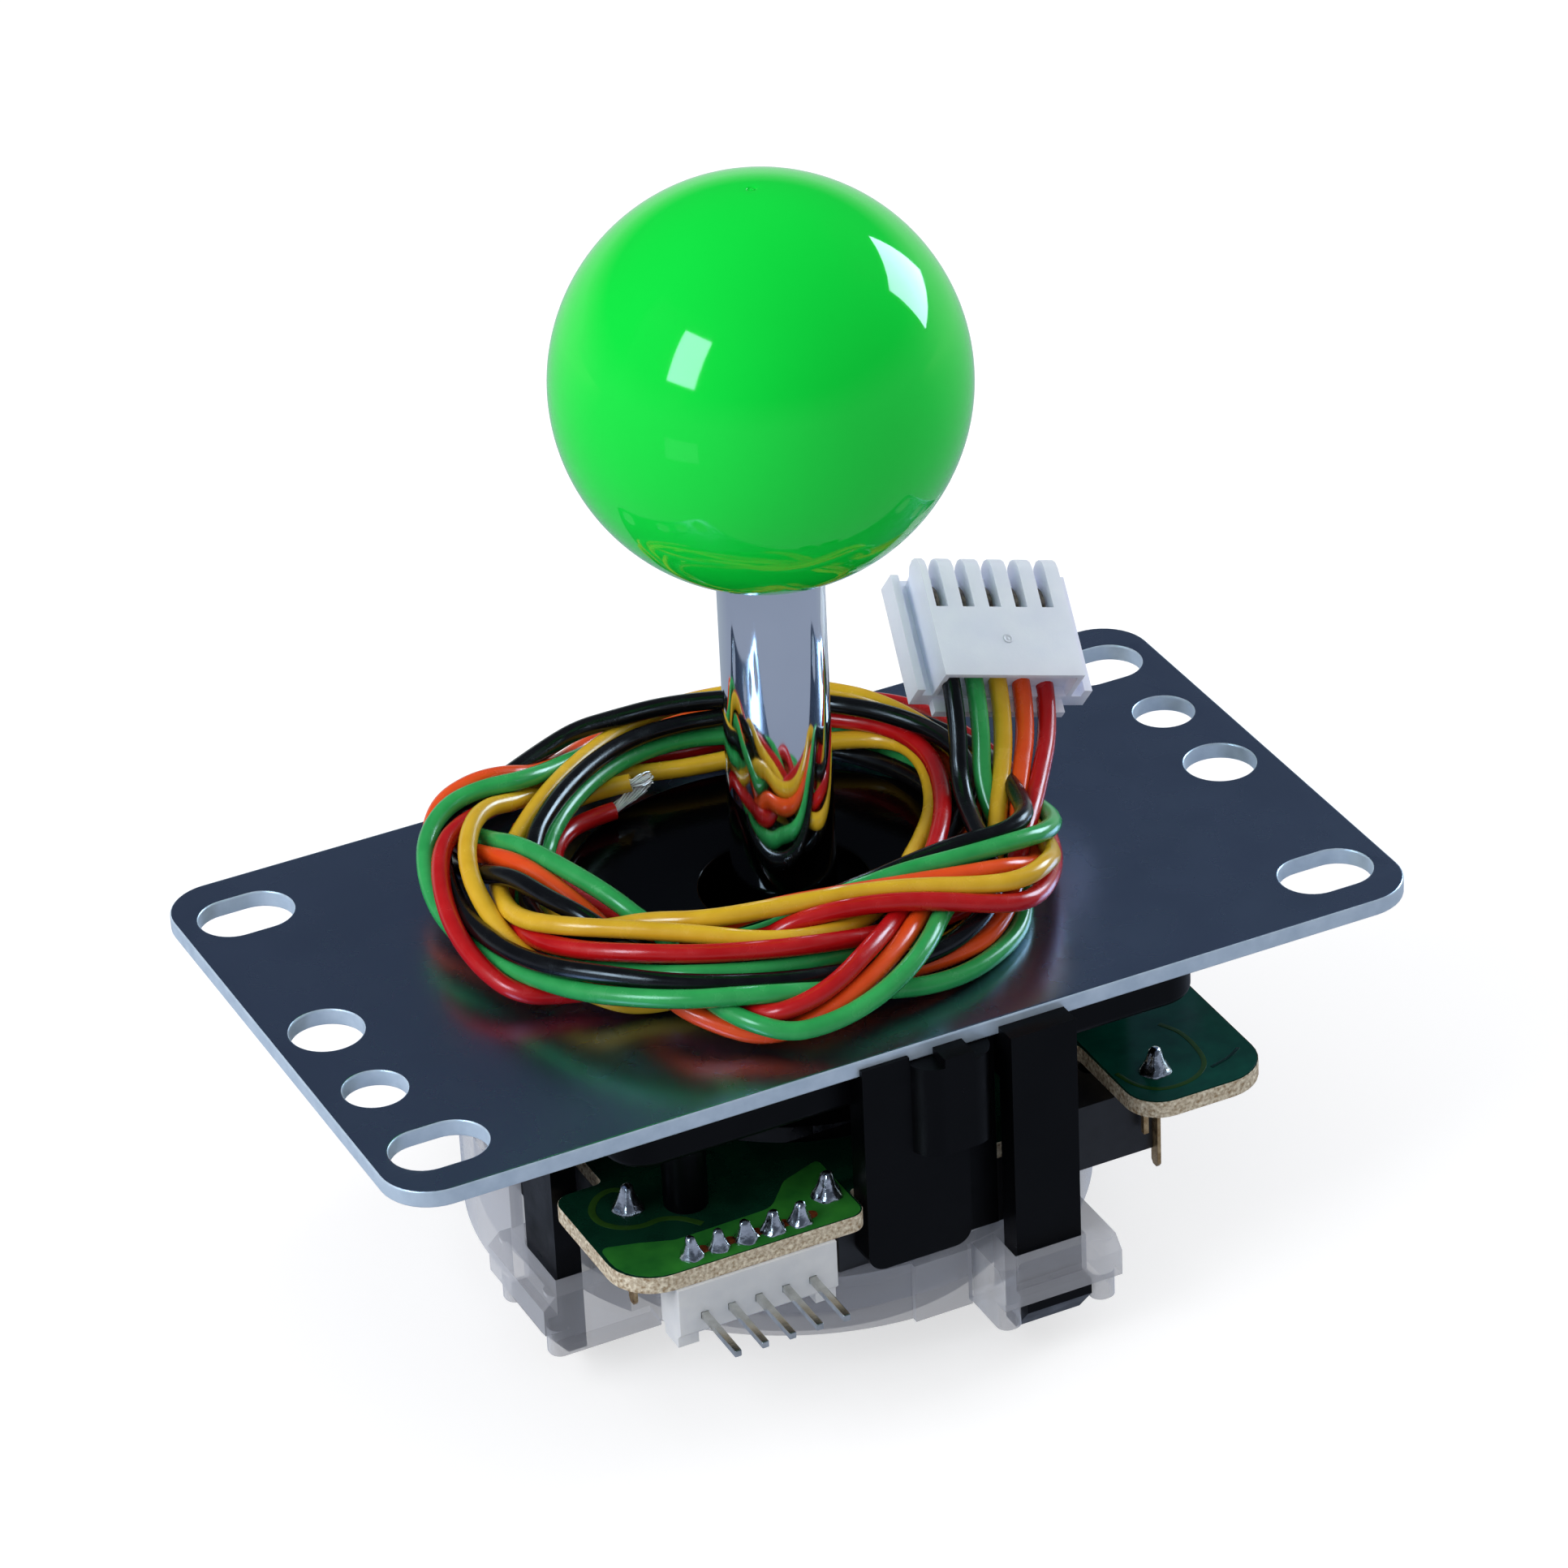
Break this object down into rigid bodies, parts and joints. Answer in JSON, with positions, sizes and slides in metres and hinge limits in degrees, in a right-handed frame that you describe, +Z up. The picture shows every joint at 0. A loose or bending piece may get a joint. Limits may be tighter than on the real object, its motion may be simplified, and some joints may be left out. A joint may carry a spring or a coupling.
{
  "type": "arcade joystick lever",
  "caption": "Panel-mount arcade joystick lever: green ball top on a chrome shaft through a slotted steel plate, with microswitches, clear gate and loose wire harness.",
  "frame": {"origin": "centre of the mounting plate's top face, on the shaft's axis", "axes": "+Z up along the shaft towards the ball, +X along the plate's long side, +Y away from the side with the pin header"},
  "size_m": [0.095, 0.0659, 0.0988],
  "materials": {
    "zinc_plate": "zinc plated, satin",
    "steel": "bright",
    "spring_steel": "satin",
    "chrome": "mirror",
    "brass": "bright",
    "tin": "bright tinned",
    "black_plastic": "satin moulded",
    "switch_plastic": "satin moulded",
    "plunger_plastic": "satin moulded",
    "green_plastic": "high gloss",
    "white_plastic": "satin moulded",
    "clear_plastic": "clear",
    "board": "solder mask over glass laminate",
    "wire_bundle": "satin insulation",
    "wire_black": "satin insulation",
    "wire_green": "satin insulation",
    "wire_yellow": "satin insulation",
    "wire_orange": "satin insulation",
    "wire_red": "satin insulation"
  },
  "bodies": {
    "housing": {"mounting_plate": "zinc_plate", "plate_screws": "steel", "dust_washer": "black_plastic", "main_body": "black_plastic", "spring_seat": "steel", "circuit_board": "board", "header_pins": "tin", "header_housing": "white_plastic", "solder_joints": "tin", "switch_case_front": "switch_plastic", "switch_case_right": "switch_plastic", "switch_case_rear": "switch_plastic", "switch_case_left": "switch_plastic", "switch_terminals": "brass", "gate_frame": "clear_plastic", "gate_guide": "clear_plastic", "wire_coil": "wire_bundle", "wire_black": "wire_black", "wire_green": "wire_green", "wire_yellow": "wire_yellow", "wire_orange": "wire_orange", "wire_red": "wire_red", "wire_end_red": "wire_red", "wire_end_yellow": "wire_yellow", "stripped_wires": "tin", "plug_housing": "white_plastic", "plug_contacts": "tin"},
    "swing": {"return_spring": "steel"},
    "lever": {"pivot_ball": "white_plastic", "actuator": "black_plastic"},
    "shaft_and_ball": {"shaft": "chrome", "ball_top": "green_plastic", "ball_insert": "brass", "retaining_ring": "steel"},
    "front_switch_lever": {"switch_lever_front": "spring_steel"},
    "front_switch_plunger": {"switch_plunger_front": "plunger_plastic"},
    "right_switch_lever": {"switch_lever_right": "spring_steel"},
    "right_switch_plunger": {"switch_plunger_right": "plunger_plastic"},
    "rear_switch_lever": {"switch_lever_rear": "spring_steel"},
    "rear_switch_plunger": {"switch_plunger_rear": "plunger_plastic"},
    "left_switch_lever": {"switch_lever_left": "spring_steel"},
    "left_switch_plunger": {"switch_plunger_left": "plunger_plastic"}
  },
  "joints": [
    {"name": "tilt_x", "type": "hinge", "parent": "housing", "child": "swing", "pos_m": [0, 0, -0.009], "axis": [1, 0, 0], "range_deg": [-8.5, 8.5], "stiffness_Nm_per_rad": 0.7, "deforming": ["return_spring"]},
    {"name": "tilt_y", "type": "hinge", "parent": "swing", "child": "lever", "pos_m": [0, 0, -0.009], "axis": [0, 1, 0], "range_deg": [-8.5, 8.5], "stiffness_Nm_per_rad": 0.7},
    {"name": "shaft_spin", "type": "hinge", "parent": "lever", "child": "shaft_and_ball", "pos_m": [0, 0, -0.009], "axis": [0, 0, 1], "continuous": true},
    {"name": "front_lever_hinge", "type": "hinge", "parent": "housing", "child": "front_switch_lever", "pos_m": [0.0089, -0.0124, -0.0188], "axis": [0, 0, 1], "range_deg": [-7.7, 7.7]},
    {"name": "front_plunger_slide", "type": "slide", "parent": "housing", "child": "front_switch_plunger", "axis": [0, -1, 0], "range_m": [-0.00071, 0.00071]},
    {"name": "right_lever_hinge", "type": "hinge", "parent": "housing", "child": "right_switch_lever", "pos_m": [0.0124, -0.01875, -0.0188], "axis": [0, 0, 1], "range_deg": [-3.8, 3.8]},
    {"name": "right_plunger_slide", "type": "slide", "parent": "housing", "child": "right_switch_plunger", "axis": [1, 0, 0], "range_m": [-0.000336, 0.000336]},
    {"name": "rear_lever_hinge", "type": "hinge", "parent": "housing", "child": "rear_switch_lever", "pos_m": [-0.0089, 0.0124, -0.0188], "axis": [0, 0, 1], "range_deg": [-7.7, 7.7]},
    {"name": "rear_plunger_slide", "type": "slide", "parent": "housing", "child": "rear_switch_plunger", "axis": [0, 1, 0], "range_m": [-0.00071, 0.00071]},
    {"name": "left_lever_hinge", "type": "hinge", "parent": "housing", "child": "left_switch_lever", "pos_m": [-0.0124, -0.01475, -0.0188], "axis": [0, 0, 1], "range_deg": [-4.7, 4.7]},
    {"name": "left_plunger_slide", "type": "slide", "parent": "housing", "child": "left_switch_plunger", "axis": [-1, 0, 0], "range_m": [-0.000427, 0.000427]}
  ],
  "couplings": [
    {"joint": "front_lever_hinge", "follows": "tilt_x", "ratio": -0.8963},
    {"joint": "front_plunger_slide", "follows": "tilt_x", "m_per_rad": -0.0045443},
    {"joint": "right_lever_hinge", "follows": "tilt_y", "ratio": 0.43},
    {"joint": "right_plunger_slide", "follows": "tilt_y", "m_per_rad": -0.002157},
    {"joint": "rear_lever_hinge", "follows": "tilt_x", "ratio": 0.8963},
    {"joint": "rear_plunger_slide", "follows": "tilt_x", "m_per_rad": 0.0045443},
    {"joint": "left_lever_hinge", "follows": "tilt_y", "ratio": 0.5456},
    {"joint": "left_plunger_slide", "follows": "tilt_y", "m_per_rad": 0.002742}
  ]
}
